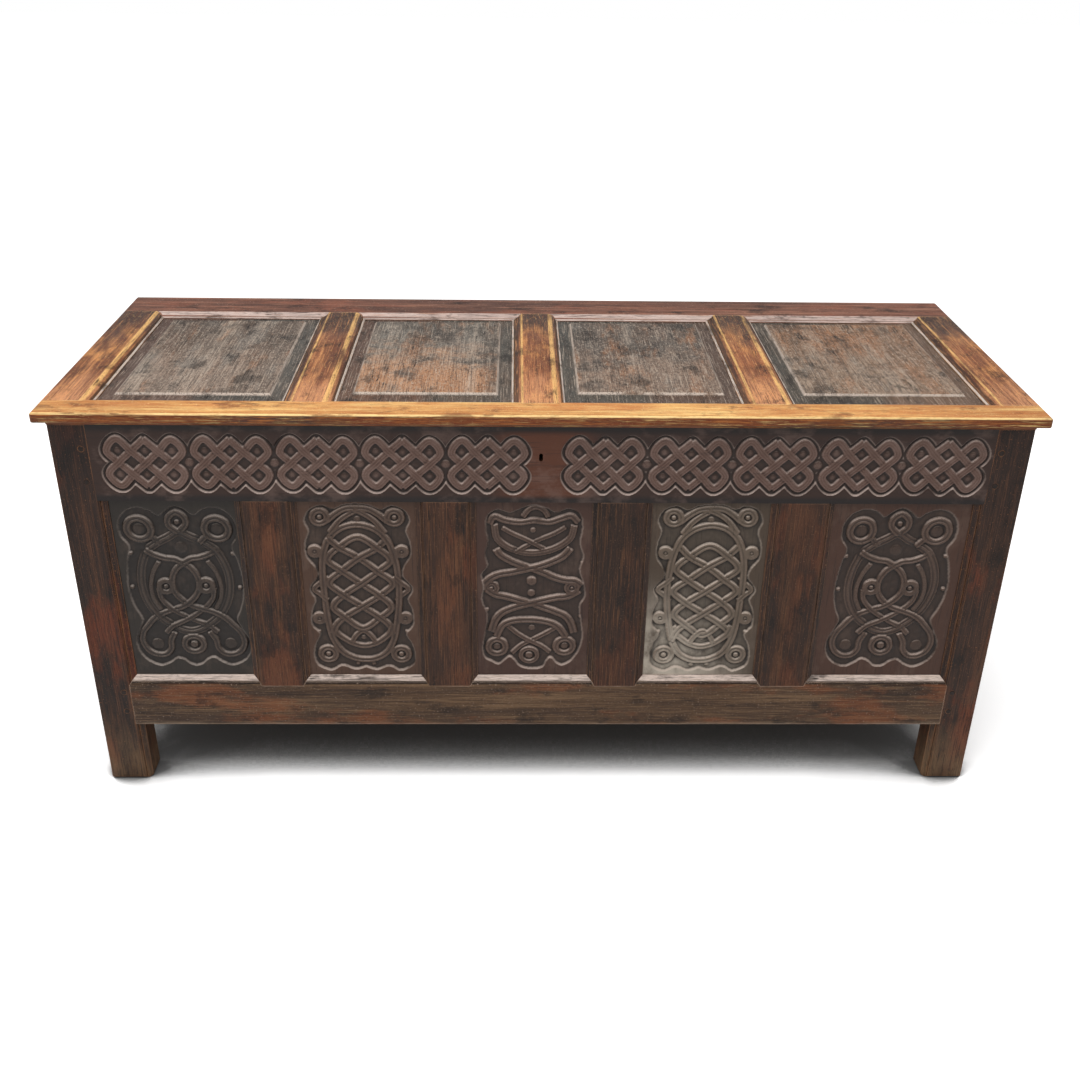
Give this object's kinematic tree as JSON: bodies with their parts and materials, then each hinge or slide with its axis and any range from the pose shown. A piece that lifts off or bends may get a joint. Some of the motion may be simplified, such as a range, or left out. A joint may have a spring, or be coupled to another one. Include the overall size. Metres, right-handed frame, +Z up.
{
  "type": "carved oak coffer chest",
  "caption": "Joined oak coffer on tall stile feet, with a strapwork-carved front and a hinged, panelled lid.",
  "frame": {"origin": "on the floor, under the middle of the lid", "axes": "+X along the front towards its right end, +Y from the front to the back, +Z up"},
  "size_m": [1.6, 0.616, 0.722],
  "materials": {
    "case_oak": "old waxed oak, dark brown, rubbed lighter along its edges",
    "carved_oak": "old waxed oak with shallow strapwork carving, darker in the ground",
    "lid_oak": "old polished oak, worn to golden brown, with grey and black stains",
    "plain_oak": "dry unpolished oak",
    "wrought_iron": "blackened wrought iron, dull, a little rust"
  },
  "bodies": {
    "case": {"front_left_stile": "case_oak", "front_right_stile": "case_oak", "back_left_stile": "case_oak", "back_right_stile": "case_oak", "front_top_rail": "carved_oak", "front_bottom_rail": "case_oak", "back_top_rail": "case_oak", "back_bottom_rail": "case_oak", "left_end_top_rail": "case_oak", "left_end_bottom_rail": "case_oak", "right_end_top_rail": "case_oak", "right_end_bottom_rail": "case_oak", "front_muntin_1": "case_oak", "front_muntin_2": "case_oak", "front_muntin_3": "case_oak", "front_muntin_4": "case_oak", "back_muntin_1": "case_oak", "back_muntin_2": "case_oak", "left_end_muntin": "case_oak", "right_end_muntin": "case_oak", "front_panel_1": "carved_oak", "front_panel_2": "carved_oak", "front_panel_3": "carved_oak", "front_panel_4": "carved_oak", "front_panel_5": "carved_oak", "back_panel_1": "case_oak", "back_panel_2": "case_oak", "back_panel_3": "case_oak", "left_end_panel_1": "case_oak", "left_end_panel_2": "case_oak", "right_end_panel_1": "case_oak", "right_end_panel_2": "case_oak", "floor_boards": "plain_oak", "joint_pegs": "case_oak", "lock_plate": "wrought_iron", "lock_case": "wrought_iron", "lock_bolt_guides": "wrought_iron", "lock_key_pin": "wrought_iron", "case_nails": "wrought_iron", "hinge_tail_left": "wrought_iron", "hinge_tail_right": "wrought_iron", "hinge_pin_left": "wrought_iron", "hinge_pin_right": "wrought_iron"},
    "lid": {"lid_front_rail": "lid_oak", "lid_back_rail": "lid_oak", "lid_left_stile": "lid_oak", "lid_right_stile": "lid_oak", "lid_muntin_1": "lid_oak", "lid_muntin_2": "lid_oak", "lid_muntin_3": "lid_oak", "lid_panel_1": "lid_oak", "lid_panel_2": "lid_oak", "lid_panel_3": "lid_oak", "lid_panel_4": "lid_oak", "hinge_strap_left": "wrought_iron", "hinge_strap_right": "wrought_iron", "lid_nails": "wrought_iron", "lock_staple": "wrought_iron"},
    "lock_bolt": {"lock_bolt": "wrought_iron"}
  },
  "joints": [
    {"name": "lid_hinge", "type": "hinge", "parent": "case", "child": "lid", "pos_m": [0, 0.29, 0.692], "axis": [-1, 0, 0], "range_deg": [0, 117]},
    {"name": "bolt_slide", "type": "slide", "parent": "case", "child": "lock_bolt", "axis": [1, 0, 0], "range_m": [0, 0.012]}
  ]
}
